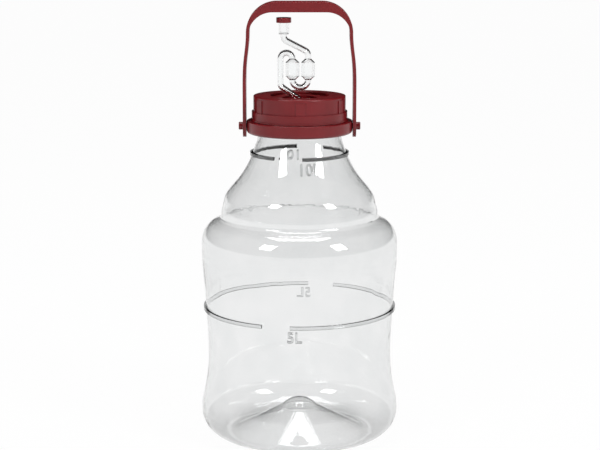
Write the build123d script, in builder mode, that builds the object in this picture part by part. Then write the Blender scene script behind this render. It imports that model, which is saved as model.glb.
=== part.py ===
from build123d import *
import os
from math import cos, degrees, radians, sin

# Ten-litre wide-neck demijohn: blown bottle, screw cap with a bubbler airlock,
# and a carrying bail on a ring that turns around the neck.
# Frame: +Z up, the origin is the centre of the foot on the ground, and the
# front, with the volume marks, looks along -Y. The bail's pins lie along X.

os.makedirs("parts", exist_ok=True)

# Bottle: base and push-up, heights above the ground
wall = 0.9
wall_pitch = 8.0
foot_radius = 112.3
foot_fillet = 28.0
foot_land = 4.0
punt_ring = 14.3
punt_rise = 5.0
cone_rise = 21.75
knob_radius = 20.0
knob_flare = 2.5
knob_flare_rise = 1.25
knob_height = 9.5

# Bottle: body and shoulder, each height a rise above the point below it
body_radius = 110.8
heel_depth = 3.6
heel_rise = 24.5
flank_depth = 1.8
flank_rise = 15.0
waist_depth = 6.5
waist_rise = 29.5
waist_land = 2.0
hip_depth = 4.7
hip_rise = 41.0
chest_depth = 2.1
chest_rise = 42.0
body_rise = 32.0
body_land = 6.0
shoulder_turn = 3.2
shoulder_turn_rise = 24.0
shoulder_depth = 9.8
shoulder_rise = 8.2
crease_depth = 22.5
crease_rise = 4.6
crease_fillet = 4.5
crease_turn = 60.0

# Bottle: upper lobe and cone, up to the neck
lobe_land = 3.5
lobe_depth = 2.0
lobe_rise = 9.0
lobe_top_depth = 4.2
lobe_top_rise = 9.0
flare_width = 34.7
flare_rise = 6.1
cone_width = 23.2
cone_span = 14.0
taper_width = 10.4
taper_rise = 21.2
throat_width = 2.3
throat_rise = 20.8
neck_rise = 8.6
neck_slope = 0.22

# Bottle: neck finish
neck_radius = 46.0
neck_wall = 2.0
neck_length = 39.1
rim_edge = 0.6
bead_proud = 4.4
bead_height = 2.6
bead_chamfer = 1.0
bead_rise = 4.8
thread_pitch = 4.0
thread_turns = 1.25
thread_depth = 1.6
thread_root = 1.9
thread_crest = 1.0
thread_top_gap = 3.0
thread_bury = 0.15

# Raised volume bands, each in two halves
band_width = 4.5
band_proud = 2.6
band_draft = 0.4
band_root = 5.5
band_gap = 31.5
seam_angle = -104.0
half_band_rise = 50.8
full_band_rise = 7.8

# Collar ring with two pins
collar_bore_clearance = 0.35
collar_width = 12.85
collar_wall = 2.4
collar_web = 3.2
collar_height = 13.8
collar_flange = 2.2
collar_flange_clearance = 0.8
collar_edge = 3.4
collar_top_edge = 0.6
collar_clearance = 0.3
pin_radius = 3.0
pin_rise = 7.6
pin_head_radius = 4.35
pin_head_length = 4.6
pin_edge = 0.8

# Bail handle, which clears the airlock even with the cap unscrewed
handle_gap = 0.3
handle_thickness = 3.7
handle_width = 24.8
handle_straight = 41.6
handle_bow = 1.0
handle_bow_rise = 30.0
handle_lean = 4.0
corner_radius = 34.2
grip_depth = 11.5
grip_step = 7.2
grip_inner_extra = 5.0
grip_clearance = 1.4
flange_thickness = 2.6
handle_edge = 0.6
eye_clearance = 0.06

# Screw cap
seam_gap = 0.5
cap_bore_clearance = 0.6
cap_wall = 3.4
cap_plate = 2.6
cap_skirt_step = 1.9
cap_skirt_height = 10.3
cap_lip_step = 0.9
cap_lip_height = 1.6
cap_edge = 1.2
recess_clearance = 9.0
recess_depth = 3.0
recess_wall = 2.0
ledge_width = 13.0
well_depth = 17.0
floor_thickness = 2.4
rib_count = 6
rib_width = 10.4
rib_proud = 0.6
rib_angle = -88.6
rib_top_gap = 3.5
female_clearance = 0.5
female_root = 1.7
female_crest = 0.9

# Sealing ring in the cap
seal_thickness = 1.8
seal_overlap = 1.6
seal_clearance = 0.4

# Rubber grommet
grommet_wall = 3.5
grommet_lip_width = 2.6
grommet_lip = 2.0
grommet_foot_width = 1.7
grommet_foot = 2.2
grommet_edge = 0.7
stem_clearance = 0.05

# Bubbler airlock: clear tube with two chambers, in the XZ plane
tube_radius = 3.5
tube_wall = 1.1
bend_radius = 6.0
chamber_radius = 7.7
chamber_wall = 1.1
chamber_height = 23.4
chamber_cone = 4.0
chamber_rise = 17.0
chamber_gap = 2.0
first_chamber_x = -7.9
leg_gap = 2.2
leg_rise = 10.0
stem_drop = 6.4
stem_rise = 10.0
spout_rise = 7.6
cup_x = -17.5
cup_radius = 5.9
cup_rise = 27.6
cup_height = 16.5
cup_wall = 1.0
cup_rim_proud = 1.2
cup_rim_height = 1.6

# Dust cap on the airlock's cup
dust_cap_clearance = 0.4
dust_cap_wall = 0.9
dust_cap_height = 5.6
dust_cap_plate = 1.6
dust_cap_edge = 0.5

# Sizes that follow, from the ground up
knob_base_height = punt_rise + cone_rise + knob_flare_rise
knob_top = knob_base_height + knob_height
waist_radius = body_radius - waist_depth
heel_height = foot_fillet + heel_rise
flank_height = heel_height + flank_rise
waist_height = flank_height + waist_rise
hip_height = waist_height + hip_rise
chest_height = hip_height + chest_rise
body_height = chest_height + body_rise
turn_height = body_height + shoulder_turn_rise
shoulder_height = turn_height + shoulder_rise
crease_radius = body_radius - crease_depth
crease_height = shoulder_height + crease_rise
land_height = crease_height + crease_fillet + lobe_land
lobe_height = land_height + lobe_rise
lobe_top_height = lobe_height + lobe_top_rise
flare_height = lobe_top_height + flare_rise
cone_height = flare_height + cone_span
taper_height = cone_height + taper_rise
throat_height = taper_height + throat_rise
neck_start = throat_height + neck_rise
mouth_height = neck_start + neck_length
bead_radius = neck_radius + bead_proud
bead_level = neck_start + bead_rise
half_band_height = waist_height + half_band_rise
full_band_height = taper_height + full_band_rise
thread_height = thread_turns * thread_pitch
thread_start = mouth_height - thread_top_gap - thread_height

collar_radius = neck_radius + collar_bore_clearance + collar_width
collar_bottom = bead_level - collar_clearance - collar_web
collar_top = collar_bottom + collar_height
pin_level = collar_bottom + pin_rise
pin_head_start = collar_radius + 2 * handle_gap + handle_thickness

cap_bore = neck_radius + thread_depth + cap_bore_clearance
cap_radius = cap_bore + cap_wall
cap_skirt_radius = cap_radius + cap_skirt_step
cap_lip_radius = cap_skirt_radius + cap_lip_step
cap_bottom = collar_top + seam_gap
cap_step_height = cap_bottom + cap_skirt_height
plate_underside = mouth_height + seal_thickness
cap_top = plate_underside + cap_plate
cap_thread_start = thread_start - thread_pitch / 2
recess_radius = neck_radius - neck_wall - recess_clearance - recess_wall
well_radius = recess_radius - ledge_width
well_floor = cap_top - well_depth
rib_top = cap_top - rib_top_gap
grommet_hole_radius = tube_radius + grommet_wall
grommet_lip_radius = grommet_hole_radius + grommet_lip_width
grommet_foot_radius = grommet_hole_radius + grommet_foot_width
grommet_bottom = well_floor - floor_thickness - grommet_foot
grommet_top = well_floor + grommet_lip

second_chamber_x = first_chamber_x + 2 * chamber_radius + chamber_gap
leg_x = first_chamber_x - chamber_radius - leg_gap - tube_radius
chamber_bottom = cap_top + chamber_rise
chamber_top = chamber_bottom + chamber_height
cup_bottom = chamber_top + cup_rise
cup_top = cup_bottom + cup_height
cup_rim_radius = cup_radius + cup_rim_proud
dust_cap_top = cup_top + dust_cap_plate

handle_half = collar_radius + handle_gap + handle_thickness
handle_top = dust_cap_top + thread_height + grip_clearance + grip_depth
straight_height = pin_level + handle_straight
bow_height = straight_height + handle_bow_rise
corner_height = handle_top - corner_radius
grip_half = handle_half - handle_lean - corner_radius
eye_bottom = pin_level - handle_width / 2


def radial_plane(angle):
    """Upright plane through the axis; its x runs outwards at the angle."""
    outwards = (cos(radians(angle)), sin(radians(angle)), 0)
    normal = (sin(radians(angle)), -cos(radians(angle)), 0)
    return Plane((0, 0, 0), x_dir=outwards, z_dir=normal)


def wall_profile():
    """Outer line of the bottle, from the knob in the push-up to the neck's foot."""
    foot_centre = foot_radius - foot_fillet
    punt_radius = foot_centre - foot_land - punt_ring
    knob = TangentArc((0, knob_top), (knob_radius, knob_base_height), tangent=(1, 0))
    cone_start = (knob_radius + knob_flare, knob_base_height - knob_flare_rise)
    cone_run = (punt_radius - cone_start[0], punt_rise - cone_start[1])
    Spline(knob @ 1, cone_start, tangents=[knob % 1, cone_run])
    cone = Line(cone_start, (punt_radius, punt_rise))
    ring = Spline(cone @ 1, (foot_centre - foot_land, 0), tangents=[cone_run, (1, 0)])
    Line(ring @ 1, (foot_centre, 0))
    foot = CenterArc((foot_centre, foot_fillet), foot_fillet, -90, 90)
    lower = Spline(
        foot @ 1,
        (foot_radius - heel_depth, heel_height),
        (waist_radius + flank_depth, flank_height),
        (waist_radius, waist_height - waist_land / 2),
        tangents=[(0, 1), (0, 1)],
    )
    waist = Line(lower @ 1, (waist_radius, waist_height + waist_land / 2))
    upper = Spline(
        waist @ 1,
        (body_radius - hip_depth, hip_height),
        (body_radius - chest_depth, chest_height),
        (body_radius, body_height - body_land / 2),
        tangents=[(0, 1), (0, 1)],
    )
    widest = Line(upper @ 1, (body_radius, body_height + body_land / 2))
    crease_centre = (crease_radius + crease_fillet, crease_height + crease_fillet)
    crease = CenterArc(crease_centre, crease_fillet, crease_turn - 180, -crease_turn)
    Spline(
        widest @ 1,
        (body_radius - shoulder_turn, turn_height),
        (body_radius - shoulder_depth, shoulder_height),
        crease @ 0,
        tangents=[(0, 1), crease % 0],
    )
    land = Line(crease @ 1, (crease_radius, land_height))
    Spline(
        land @ 1,
        (crease_radius - lobe_depth, lobe_height),
        (crease_radius - lobe_top_depth, lobe_top_height),
        (neck_radius + flare_width, flare_height),
        (neck_radius + cone_width, cone_height),
        (neck_radius + taper_width, taper_height),
        (neck_radius + throat_width, throat_height),
        (neck_radius, neck_start),
        tangents=[(0, 1), (-neck_slope, 1)],
    )


def inside_line(line):
    """The inside of one line of the outline, a wall's thickness away from it."""
    counts = {GeomType.LINE: 1, GeomType.CIRCLE: 2}
    steps = counts.get(line.geom_type, 4 + round(line.length / wall_pitch))
    points = []
    for step in range(steps + 1):
        along = line % (step / steps)
        points.append(line @ (step / steps) + Vector(-along.Y, along.X) * wall)
    if steps == 1:
        return Line(*points)
    if steps == 2:
        return ThreePointArc(*points)
    return Spline(*points, tangents=[line % 0, line % 1])


def wall_radius(height):
    """Outer radius of the bottle's wall at a height, by closing in on it."""
    for line in outline.edges():
        low, high = 0.0, 1.0
        if not (line @ low).Y <= height < (line @ high).Y:
            continue
        while high - low > 1e-7:
            middle = (low + high) / 2
            if (line @ middle).Y < height:
                low = middle
            else:
                high = middle
        return (line @ low).X
    return neck_radius


with BuildLine() as outline:
    wall_profile()

# Blown bottle, one piece with its thread, bead, bands and push-up
with BuildPart() as bottle:
    with BuildSketch(Plane.XZ):
        with BuildLine():
            wall_profile()
            Polyline((neck_radius, neck_start), (neck_radius, mouth_height), (0, mouth_height), (0, knob_top))
        make_face()
    revolve(axis=Axis.Z)

    # Bead over the collar
    with BuildSketch(Plane.XZ):
        with BuildLine():
            Polyline(
                (neck_radius - neck_wall / 2, bead_level),
                (bead_radius, bead_level),
                (bead_radius, bead_level + bead_height - bead_chamfer),
                (bead_radius - bead_chamfer, bead_level + bead_height),
                (neck_radius - neck_wall / 2, bead_level + bead_height),
                close=True,
            )
        make_face()
    revolve(axis=Axis.Z)

    # Volume bands: two halves each, with square ends at the mould seams
    for height in (half_band_height, full_band_height):
        root = wall_radius(height)
        gap_angle = degrees(band_gap / root)
        for seam in (seam_angle, seam_angle + 180):
            with BuildSketch(radial_plane(seam + gap_angle / 2)):
                with BuildLine():
                    Polyline(
                        (root - band_root, height - band_width / 2),
                        (root + band_proud, height - band_width / 2 + band_draft),
                        (root + band_proud, height + band_width / 2 - band_draft),
                        (root - band_root, height + band_width / 2),
                        close=True,
                    )
                make_face()
            revolve(axis=Axis.Z, revolution_arc=180 - gap_angle)

    # Hollow
    with BuildSketch(Plane.XZ):
        with BuildLine():
            for line in outline.edges():
                inner = inside_line(line)
            Polyline(
                inner @ 1,
                (neck_radius - neck_wall, neck_start + neck_wall),
                (neck_radius - neck_wall, mouth_height),
                (0, mouth_height),
                (0, knob_top + wall),
            )
        make_face()
    revolve(axis=Axis.Z, mode=Mode.SUBTRACT)
    rim = bottle.edges().filter_by(GeomType.CIRCLE).filter_by_position(Axis.Z, mouth_height - 0.01, mouth_height + 0.01)
    fillet(rim, radius=rim_edge)

    # Neck thread
    with BuildLine():
        Helix(pitch=thread_pitch, height=thread_height, radius=neck_radius, center=(0, 0, thread_start))
    with BuildSketch(Plane.XZ):
        with BuildLine():
            Polyline(
                (neck_radius - thread_bury, thread_start - thread_root / 2),
                (neck_radius + thread_depth, thread_start - thread_crest / 2),
                (neck_radius + thread_depth, thread_start + thread_crest / 2),
                (neck_radius - thread_bury, thread_start + thread_root / 2),
                close=True,
            )
        make_face()
    sweep(is_frenet=True)

bottle.part.label = "bottle"
export_step(bottle.part, "parts/bottle.step")

# Screw cap: lipped skirt, grip ribs, stepped well in the top and an inner thread
with BuildPart() as cap:
    with BuildSketch(Plane.XZ):
        with BuildLine():
            Polyline(
                (cap_bore, cap_bottom),
                (cap_lip_radius, cap_bottom),
                (cap_lip_radius, cap_bottom + cap_lip_height),
                (cap_skirt_radius, cap_bottom + cap_lip_height),
                (cap_skirt_radius, cap_step_height),
                (cap_radius, cap_step_height),
                (cap_radius, cap_top),
                (recess_radius, cap_top),
                (recess_radius, cap_top - recess_depth),
                (well_radius, cap_top - recess_depth),
                (well_radius, well_floor),
                (grommet_hole_radius, well_floor),
                (grommet_hole_radius, well_floor - floor_thickness),
                (well_radius + recess_wall, well_floor - floor_thickness),
                (well_radius + recess_wall, cap_top - recess_depth - floor_thickness),
                (recess_radius + recess_wall, cap_top - recess_depth - floor_thickness),
                (recess_radius + recess_wall, plate_underside),
                (cap_bore, plate_underside),
                close=True,
            )
        make_face()
    revolve(axis=Axis.Z)
    rim = cap.edges().filter_by(GeomType.CIRCLE).filter_by_position(Axis.Z, cap_top - 0.01, cap_top + 0.01)
    fillet(rim.sort_by(Edge.length)[-1], radius=cap_edge)
    fillet(rim.sort_by(Edge.length)[0], radius=cap_edge / 2)
    with BuildSketch(Plane.XY.offset(cap_step_height)):
        with PolarLocations(cap_radius, rib_count, start_angle=rib_angle):
            Rectangle(2 * rib_proud, rib_width)
    extrude(amount=rib_top - cap_step_height)

    # Inner thread, half a pitch below the bottle's
    with BuildLine():
        Helix(pitch=thread_pitch, height=thread_height, radius=cap_bore, center=(0, 0, cap_thread_start))
    with BuildSketch(Plane.XZ):
        with BuildLine():
            Polyline(
                (cap_bore + thread_bury, cap_thread_start - female_root / 2),
                (neck_radius + female_clearance, cap_thread_start - female_crest / 2),
                (neck_radius + female_clearance, cap_thread_start + female_crest / 2),
                (cap_bore + thread_bury, cap_thread_start + female_root / 2),
                close=True,
            )
        make_face()
    sweep(is_frenet=True)

cap.part.label = "cap"
export_step(cap.part, "parts/cap.step")

# Sealing ring between the rim of the neck and the cap
with BuildPart() as cap_seal:
    with BuildSketch(Plane.XY.offset(mouth_height)):
        Circle(cap_bore - seal_clearance)
        Circle(neck_radius - neck_wall - seal_overlap, mode=Mode.SUBTRACT)
    extrude(amount=seal_thickness)

cap_seal.part.label = "cap_seal"
export_step(cap_seal.part, "parts/cap_seal.step")

# Rubber grommet in the floor of the well
with BuildPart() as grommet:
    with BuildSketch(Plane.XZ):
        with BuildLine():
            Polyline(
                (tube_radius + stem_clearance, grommet_bottom),
                (grommet_foot_radius, grommet_bottom),
                (grommet_foot_radius, well_floor - floor_thickness),
                (grommet_hole_radius, well_floor - floor_thickness),
                (grommet_hole_radius, well_floor),
                (grommet_lip_radius, well_floor),
                (grommet_lip_radius, grommet_top),
                (tube_radius + stem_clearance, grommet_top),
                close=True,
            )
        make_face()
    revolve(axis=Axis.Z)
    ends = grommet.edges().filter_by(GeomType.CIRCLE).group_by(Axis.Z)
    fillet(ends[-1].sort_by(Edge.length)[-1], radius=grommet_edge)
    fillet(ends[0].sort_by(Edge.length)[-1], radius=grommet_edge)

grommet.part.label = "grommet"
export_step(grommet.part, "parts/grommet.step")


def stem_path():
    """From the stem's foot round to the first chamber."""
    leg = FilletPolyline(
        (0, grommet_bottom - stem_drop),
        (0, grommet_top + stem_rise),
        (leg_x, cap_top + leg_rise),
        (leg_x, chamber_top),
        radius=bend_radius,
    )
    turn = CenterArc(((leg_x + first_chamber_x) / 2, chamber_top), (first_chamber_x - leg_x) / 2, 180, -180)
    Line(turn @ 1, (first_chamber_x, chamber_top - chamber_cone))
    return leg @ 0


def link_path():
    """Between the feet of the two chambers."""
    middle = (first_chamber_x + second_chamber_x) / 2
    drop = Line((first_chamber_x, chamber_bottom + chamber_cone), (first_chamber_x, chamber_bottom))
    turn = CenterArc((middle, chamber_bottom), (second_chamber_x - first_chamber_x) / 2, 180, 180)
    Line(turn @ 1, (second_chamber_x, chamber_bottom + chamber_cone))
    return drop @ 0


def spout_path():
    """From the second chamber up into the cup."""
    spout = FilletPolyline(
        (second_chamber_x, chamber_top - chamber_cone),
        (second_chamber_x, chamber_top + spout_rise),
        (cup_x, cup_bottom - bend_radius),
        (cup_x, cup_bottom + cup_wall),
        radius=bend_radius,
    )
    return spout @ 0


# Bubbler airlock, one clear moulding
with BuildPart() as airlock:
    # Outer walls, then the same path again for the bore
    for layer in (0, 1):
        role = Mode.SUBTRACT if layer else Mode.ADD
        for path in (stem_path, link_path, spout_path):
            with BuildLine(Plane.XZ):
                start = path()
            with BuildSketch(Plane.XY.offset(start.Z)):
                with Locations((start.X, 0)):
                    Circle(tube_radius - layer * tube_wall)
            sweep(mode=role)
        for chamber_x in (first_chamber_x, second_chamber_x):
            with BuildSketch(Plane.XZ):
                with BuildLine():
                    Polyline(
                        (chamber_x, chamber_bottom + layer * chamber_wall),
                        (chamber_x + tube_radius, chamber_bottom + layer * chamber_wall),
                        (chamber_x + chamber_radius - layer * chamber_wall, chamber_bottom + chamber_cone),
                        (chamber_x + chamber_radius - layer * chamber_wall, chamber_top - chamber_cone),
                        (chamber_x + tube_radius, chamber_top - layer * chamber_wall),
                        (chamber_x, chamber_top - layer * chamber_wall),
                        close=True,
                    )
                make_face()
            revolve(axis=Axis((chamber_x, 0, 0), (0, 0, 1)), mode=role)
        with BuildSketch(Plane.XY.offset(cup_bottom + layer * cup_wall)):
            with Locations((cup_x, 0)):
                Circle(cup_radius - layer * cup_wall)
        extrude(amount=cup_height - layer * cup_wall, mode=role)
        if not layer:
            with BuildSketch(Plane.XY.offset(cup_top - cup_rim_height)):
                with Locations((cup_x, 0)):
                    Circle(cup_rim_radius)
            extrude(amount=cup_rim_height)

airlock.part.label = "airlock"
export_step(airlock.part, "parts/airlock.step")

# Dust cap that rests on the cup's rim
with BuildPart() as dust_cap:
    with BuildSketch(Plane.XY.offset(dust_cap_top - dust_cap_height)):
        with Locations((cup_x, 0)):
            Circle(cup_rim_radius + dust_cap_clearance + dust_cap_wall)
    extrude(amount=dust_cap_height)
    fillet(dust_cap.edges().group_by(Axis.Z)[-1], radius=dust_cap_edge)
    with BuildSketch(Plane.XY.offset(cup_top)):
        with Locations((cup_x, 0)):
            Circle(cup_rim_radius + dust_cap_clearance)
    extrude(amount=dust_cap_plate - dust_cap_height, mode=Mode.SUBTRACT)

dust_cap.part.label = "dust_cap"
export_step(dust_cap.part, "parts/dust_cap.step")

# Collar that turns on the neck under the bead, with a headed pin each side
with BuildPart() as collar:
    with BuildSketch(Plane.XZ):
        with BuildLine():
            Polyline(
                (neck_radius + collar_bore_clearance, collar_bottom),
                (collar_radius, collar_bottom),
                (collar_radius, collar_top),
                (bead_radius + collar_flange_clearance, collar_top),
                (bead_radius + collar_flange_clearance, collar_top - collar_flange),
                (collar_radius - collar_wall, collar_top - collar_flange),
                (collar_radius - collar_wall, collar_bottom + collar_web),
                (neck_radius + collar_bore_clearance, collar_bottom + collar_web),
                close=True,
            )
        make_face()
    revolve(axis=Axis.Z)
    hoops = collar.edges().filter_by(GeomType.CIRCLE).group_by(Axis.Z)
    fillet(hoops[0].sort_by(Edge.length)[-1], radius=collar_edge)
    fillet(hoops[-1].sort_by(Edge.length)[-1], radius=collar_top_edge)
    for side in (-1, 1):
        with BuildSketch(Plane.YZ.offset(side * (collar_radius - collar_wall / 2))):
            with Locations((0, pin_level)):
                Circle(pin_radius)
        extrude(amount=side * (pin_head_start - collar_radius + collar_wall / 2 + pin_head_length / 2))
        with BuildSketch(Plane.YZ.offset(side * pin_head_start)):
            with Locations((0, pin_level)):
                Circle(pin_head_radius)
        extrude(amount=side * pin_head_length)
    heads = collar.edges().filter_by(GeomType.CIRCLE).group_by(Axis.X)
    fillet(heads[0] + heads[-1], radius=pin_edge)

collar.part.label = "collar"
export_step(collar.part, "parts/collar.step")

def bail_line(inset):
    """The bail's outer line, drawn in by the inset, closed at the foot of the eyes."""
    bottom = Line((0, eye_bottom), (handle_half - inset, eye_bottom))
    straight = Line(bottom @ 1, (handle_half - inset, straight_height))
    Spline(
        straight @ 1,
        (handle_half - handle_bow - inset, bow_height),
        (grip_half + corner_radius - inset, corner_height),
        tangents=[(0, 1), (0, 1)],
    )
    corner = CenterArc((grip_half, corner_height), corner_radius - inset, 0, 90)
    Line(corner @ 1, (0, handle_top - inset))
    mirror(about=Plane.YZ)


# Bail: a strap with a channel-shaped grip, hung on the collar's pins
with BuildPart() as handle:
    with BuildSketch(Plane.XZ):
        with BuildLine():
            bail_line(0)
        make_face()
    extrude(amount=handle_width / 2, both=True)
    brow = handle.edges().filter_by_position(Axis.Z, pin_level, handle_top + 1)
    fillet(brow.filter_by(Axis.Y, reverse=True), radius=handle_edge)
    with BuildSketch(Plane.XZ):
        with BuildLine():
            bail_line(handle_thickness)
        make_face()
    extrude(amount=handle_width / 2, both=True, mode=Mode.SUBTRACT)

    # Side flanges of the grip
    for side in (-1, 1):
        with BuildSketch(Plane.XZ.offset(side * (handle_width / 2 - flange_thickness))):
            with BuildLine():
                bail_line(handle_thickness)
            make_face()
            with BuildLine():
                grip_floor = handle_top - grip_depth
                bend_centre = grip_half + grip_inner_extra
                bend_size = corner_radius - grip_step
                flat = Line((0, grip_floor), (bend_centre, grip_floor))
                bend = CenterArc((bend_centre, grip_floor - bend_size), bend_size, 90, -90)
                Polyline(bend @ 1, (handle_half, grip_floor - bend_size), (handle_half, eye_bottom), (0, eye_bottom))
                mirror(about=Plane.YZ)
            make_face(mode=Mode.SUBTRACT)
        extrude(amount=side * flange_thickness)

    # Rounded ends and their eyes
    with BuildSketch(Plane.YZ):
        with Locations((0, pin_level)):
            Circle(handle_width / 2)
        with Locations((0, (pin_level + handle_top) / 2)):
            Rectangle(handle_width, handle_top - pin_level)
    extrude(amount=handle_half, both=True, mode=Mode.INTERSECT)
    with BuildSketch(Plane.YZ):
        with Locations((0, pin_level)):
            Circle(pin_radius + eye_clearance)
    extrude(amount=handle_half, both=True, mode=Mode.SUBTRACT)

handle.part.label = "handle"
export_step(handle.part, "parts/handle.step")
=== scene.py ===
from math import cos, pi, radians, sin

import bpy
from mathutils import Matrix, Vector
from mathutils.bvhtree import BVHTree


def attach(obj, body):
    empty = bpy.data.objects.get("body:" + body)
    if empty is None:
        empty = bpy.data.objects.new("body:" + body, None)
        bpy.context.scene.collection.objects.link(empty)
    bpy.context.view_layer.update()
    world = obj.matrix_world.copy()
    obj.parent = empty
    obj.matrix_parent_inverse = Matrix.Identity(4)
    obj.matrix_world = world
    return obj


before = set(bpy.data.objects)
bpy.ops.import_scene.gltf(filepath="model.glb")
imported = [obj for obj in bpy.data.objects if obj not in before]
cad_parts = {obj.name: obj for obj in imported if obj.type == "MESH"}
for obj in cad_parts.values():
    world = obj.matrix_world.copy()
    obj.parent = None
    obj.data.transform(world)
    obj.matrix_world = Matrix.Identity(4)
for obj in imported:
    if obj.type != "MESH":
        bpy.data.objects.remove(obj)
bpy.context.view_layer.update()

# Materials: base colours are linear, distances are metres
BOTTLE_IOR = 1.58
AIRLOCK_IOR = 1.49
MOULDED_IOR = 1.49
BOTTLE_TINT = (0.965, 0.97, 0.97, 1)
AIRLOCK_TINT = (0.98, 0.99, 0.99, 1)
ABSORPTION = (0.0, 0.03, 0.04, 1)
HAZE_ROUGHNESS = (0.0, 0.006)
RED = (0.165, 0.0045, 0.0075, 1), (0.185, 0.006, 0.0095, 1)
RUBBER = (0.05, 0.005, 0.008, 1), (0.07, 0.008, 0.01, 1)
WHITE = (1, 1, 1, 1)
PAPER = (0.86, 0.86, 0.86, 1), (0.88, 0.88, 0.88, 1)
DARK_CEILING = (0.015, 0.015, 0.015, 1)

# Raised volume marks: words, height of their middle, degrees from the front, height of the figures
MARKS = (("5L", 0.1367, -3, 0.0122), ("10L", 0.3131, 10.5, 0.0125))
MARK_PROUD = 0.001
MARK_EDGE = 0.00015
FIGURE_SHARE = 0.72
RAY_START = 0.2

# Studio
FLOOR_RADIUS = 12
FLOOR_SIDES = 64
FLOOR_GLOW = 0.975
HORIZON = (-0.04, 0.06)
LAMP_AIM = (0, 0, 0.3)
LAMPS = (
    ("soft_left", (-1.5, -1.6, 1.9), (0.7, 1.0), 34),
    ("soft_right", (1.7, -1.3, 1.7), (0.6, 1.1), 40),
    ("soft_top", (0, 0.3, 2.4), (1.2, 1.2), 26),
)
CAMERA_PLACE = (0.0005, -1.855, 0.6026)
CAMERA_TILT = (radians(78.97), radians(-0.01), 0)


def new_material(name):
    material = bpy.data.materials.new(name)
    material.use_nodes = True
    tree = material.node_tree
    return material, tree, tree.nodes["Principled BSDF"]


def add_noise(tree, scale, detail=4.0):
    """Noise that stays with the object."""
    place = tree.nodes.new("ShaderNodeTexCoord")
    noise = tree.nodes.new("ShaderNodeTexNoise")
    noise.inputs["Scale"].default_value = scale
    noise.inputs["Detail"].default_value = detail
    noise.inputs["Roughness"].default_value = 0.5
    tree.links.new(place.outputs["Object"], noise.inputs["Vector"])
    return noise.outputs["Fac"]


def ramp(tree, source, low, high):
    """Colour between two shades, following the noise."""
    node = tree.nodes.new("ShaderNodeValToRGB")
    start, end = node.color_ramp.elements
    start.position, end.position = 0.35, 0.65
    start.color, end.color = low, high
    tree.links.new(source, node.inputs["Fac"])
    return node.outputs["Color"]


def level(tree, source, low, high):
    """Value between two limits, following the noise."""
    node = tree.nodes.new("ShaderNodeMapRange")
    node.inputs["From Min"].default_value = 0.3
    node.inputs["From Max"].default_value = 0.7
    node.inputs["To Min"].default_value = low
    node.inputs["To Max"].default_value = high
    tree.links.new(source, node.inputs["Value"])
    return node.outputs["Result"]


def bump(tree, shader, source, strength, distance):
    node = tree.nodes.new("ShaderNodeBump")
    node.inputs["Strength"].default_value = strength
    node.inputs["Distance"].default_value = distance
    tree.links.new(source, node.inputs["Height"])
    tree.links.new(node.outputs["Normal"], shader.inputs["Normal"])


def clear_plastic(name, ior, density, ripple_scale, ripple, tint):
    """Clear plastic: refraction, a faint grey absorption and slow ripples of the wall."""
    material, tree, shader = new_material(name)
    shader.inputs["Transmission Weight"].default_value = 1.0
    shader.inputs["IOR"].default_value = ior
    ripples = add_noise(tree, ripple_scale, detail=1.5)
    haze = add_noise(tree, 22.0, detail=3.0)
    tree.links.new(level(tree, haze, *HAZE_ROUGHNESS), shader.inputs["Roughness"])
    tree.links.new(ramp(tree, haze, tint, WHITE), shader.inputs["Base Color"])
    bump(tree, shader, ripples, ripple, 0.002)
    depth = tree.nodes.new("ShaderNodeVolumeAbsorption")
    depth.inputs["Color"].default_value = ABSORPTION
    depth.inputs["Density"].default_value = density
    tree.links.new(depth.outputs["Volume"], tree.nodes["Material Output"].inputs["Volume"])
    return material


def moulded_plastic(name, shades, roughness, grain):
    """Satin moulded plastic: faint flow marks in colour, fine grain in the surface."""
    material, tree, shader = new_material(name)
    flow = add_noise(tree, 38.0, detail=3.0)
    tree.links.new(ramp(tree, flow, *shades), shader.inputs["Base Color"])
    smudge = add_noise(tree, 70.0, detail=5.0)
    gloss = level(tree, smudge, roughness - 0.05, roughness + 0.07)
    tree.links.new(gloss, shader.inputs["Roughness"])
    fine = add_noise(tree, 2600.0, detail=2.0)
    bump(tree, shader, fine, grain, 0.0002)
    shader.inputs["IOR"].default_value = MOULDED_IOR
    return material


bottle_clear = clear_plastic("bottle_clear", BOTTLE_IOR, 75.0, 14.0, 0.03, BOTTLE_TINT)
airlock_clear = clear_plastic("airlock_clear", AIRLOCK_IOR, 20.0, 60.0, 0.004, AIRLOCK_TINT)
red = moulded_plastic("red_plastic", RED, 0.33, 0.1)
rubber = moulded_plastic("seal_rubber", RUBBER, 0.7, 0.3)

FINISH = {
    "bottle": bottle_clear,
    "airlock": airlock_clear,
    "cap": red,
    "collar": red,
    "handle": red,
    "dust_cap": red,
    "cap_seal": rubber,
    "grommet": rubber,
}
for node, material in FINISH.items():
    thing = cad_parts[node]
    thing.data.materials.clear()
    thing.data.materials.append(material)

# The bottle's wall, to lay the raised marks on
wall_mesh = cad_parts["bottle"].data
wall_tree = BVHTree.FromPolygons(
    [vertex.co.copy() for vertex in wall_mesh.vertices],
    [tuple(face.vertices) for face in wall_mesh.polygons],
)


def wall_point(angle, height):
    """Point and normal of the wall's outside at an angle from the front, and a height."""
    out = Vector((sin(angle), -cos(angle), 0))
    hit, normal, _, _ = wall_tree.ray_cast(out * RAY_START + Vector((0, 0, height)), -out)
    return hit, normal


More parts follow.
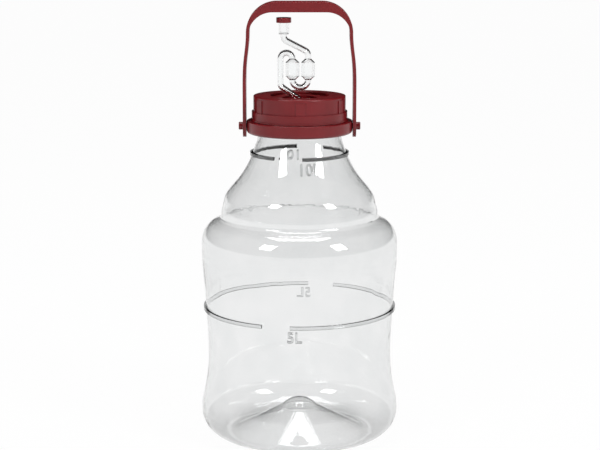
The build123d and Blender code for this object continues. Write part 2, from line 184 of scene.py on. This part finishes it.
def volume_mark(name, words, height, angle, cap_height):
    """Raised figures that follow the bottle's wall below a volume band."""
    text = bpy.data.curves.new(name, "FONT")
    text.body = words
    text.align_x = "CENTER"
    text.size = cap_height / FIGURE_SHARE
    text.extrude = MARK_PROUD
    text.bevel_depth = MARK_EDGE
    text.resolution_u = 4
    flat = bpy.data.objects.new(name + "_flat", text)
    bpy.context.scene.collection.objects.link(flat)
    bpy.context.view_layer.update()
    mesh = bpy.data.meshes.new_from_object(flat)
    bpy.data.objects.remove(flat)
    heights = [vertex.co.y for vertex in mesh.vertices]
    middle = (min(heights) + max(heights)) / 2
    radius = wall_point(angle, height)[0].xy.length
    for vertex in mesh.vertices:
        x, y, proud = vertex.co
        point, normal = wall_point(angle + x / radius, height + y - middle)
        vertex.co = point + normal * proud
    mesh.materials.clear()
    mesh.materials.append(bottle_clear)
    mark = bpy.data.objects.new(name, mesh)
    bpy.context.scene.collection.objects.link(mark)
    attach(mark, "bottle")


for words, height, azimuth, tall in MARKS:
    for side, turn in (("front", 0), ("back", pi)):
        name = "mark_" + words.lower() + "_" + side
        volume_mark(name, words, height, radians(azimuth) + turn, tall)


def path_factor(tree):
    """1 for rays that look at the scene: from the camera, or by way of gloss or clear plastic."""
    path = tree.nodes.new("ShaderNodeLightPath")
    total = path.outputs["Is Camera Ray"]
    for ray in ("Is Glossy Ray", "Is Transmission Ray"):
        join = tree.nodes.new("ShaderNodeMath")
        join.operation = "MAXIMUM"
        tree.links.new(total, join.inputs[0])
        tree.links.new(path.outputs[ray], join.inputs[1])
        total = join.outputs[0]
    return total


# Floor: pale paper that glows a little for the eye and keeps the object's shadow
turns = [2 * pi * k / FLOOR_SIDES for k in range(FLOOR_SIDES)]
floor_mesh = bpy.data.meshes.new("floor")
floor_mesh.from_pydata(
    [(FLOOR_RADIUS * cos(turn), FLOOR_RADIUS * sin(turn), 0) for turn in turns],
    [],
    [list(range(FLOOR_SIDES))],
)
floor = bpy.data.objects.new("floor", floor_mesh)
bpy.context.scene.collection.objects.link(floor)
floor_material, tree, shader = new_material("floor_pale")
shader.inputs["Roughness"].default_value = 0.9
paper = add_noise(tree, 3.0)
tree.links.new(ramp(tree, paper, *PAPER), shader.inputs["Base Color"])
glow = tree.nodes.new("ShaderNodeEmission")
glow.inputs["Color"].default_value = WHITE
mix = tree.nodes.new("ShaderNodeMixShader")
share = tree.nodes.new("ShaderNodeMath")
share.operation = "MULTIPLY"
share.inputs[1].default_value = FLOOR_GLOW
tree.links.new(path_factor(tree), share.inputs[0])
tree.links.new(share.outputs[0], mix.inputs["Fac"])
tree.links.new(shader.outputs["BSDF"], mix.inputs[1])
tree.links.new(glow.outputs["Emission"], mix.inputs[2])
tree.links.new(mix.outputs["Shader"], tree.nodes["Material Output"].inputs["Surface"])
floor_mesh.materials.append(floor_material)

# Room: white below the horizon, dark overhead
world = bpy.data.worlds.new("studio")
bpy.context.scene.world = world
world.use_nodes = True
tree = world.node_tree
room = tree.nodes["Background"]
place = tree.nodes.new("ShaderNodeTexCoord")
split = tree.nodes.new("ShaderNodeSeparateXYZ")
rise = tree.nodes.new("ShaderNodeMapRange")
rise.interpolation_type = "SMOOTHSTEP"
rise.inputs["From Min"].default_value = HORIZON[0]
rise.inputs["From Max"].default_value = HORIZON[1]
rise.inputs["To Min"].default_value = 1.0
rise.inputs["To Max"].default_value = 0.0
tone = tree.nodes.new("ShaderNodeValToRGB")
tone.color_ramp.elements[0].color = DARK_CEILING
tone.color_ramp.elements[1].color = WHITE
tree.links.new(place.outputs["Generated"], split.inputs["Vector"])
tree.links.new(split.outputs["Z"], rise.inputs["Value"])
tree.links.new(rise.outputs["Result"], tone.inputs["Fac"])
tree.links.new(tone.outputs["Color"], room.inputs["Color"])
room.inputs["Strength"].default_value = 1.0

# Soft boxes
for name, place, size, power in LAMPS:
    lamp = bpy.data.lights.new(name, "AREA")
    lamp.shape = "RECTANGLE"
    lamp.size, lamp.size_y = size
    lamp.energy = power
    box = bpy.data.objects.new(name, lamp)
    box.location = place
    box.rotation_euler = (Vector(LAMP_AIM) - Vector(place)).to_track_quat("-Z", "Y").to_euler()
    bpy.context.scene.collection.objects.link(box)

# Camera at the photograph's angle
lens = bpy.data.cameras.new("camera")
lens.lens = 100
lens.sensor_width = 36
camera = bpy.data.objects.new("camera", lens)
camera.location = CAMERA_PLACE
camera.rotation_euler = CAMERA_TILT
bpy.context.scene.collection.objects.link(camera)
bpy.context.scene.camera = camera
bpy.context.scene.view_settings.view_transform = "Standard"
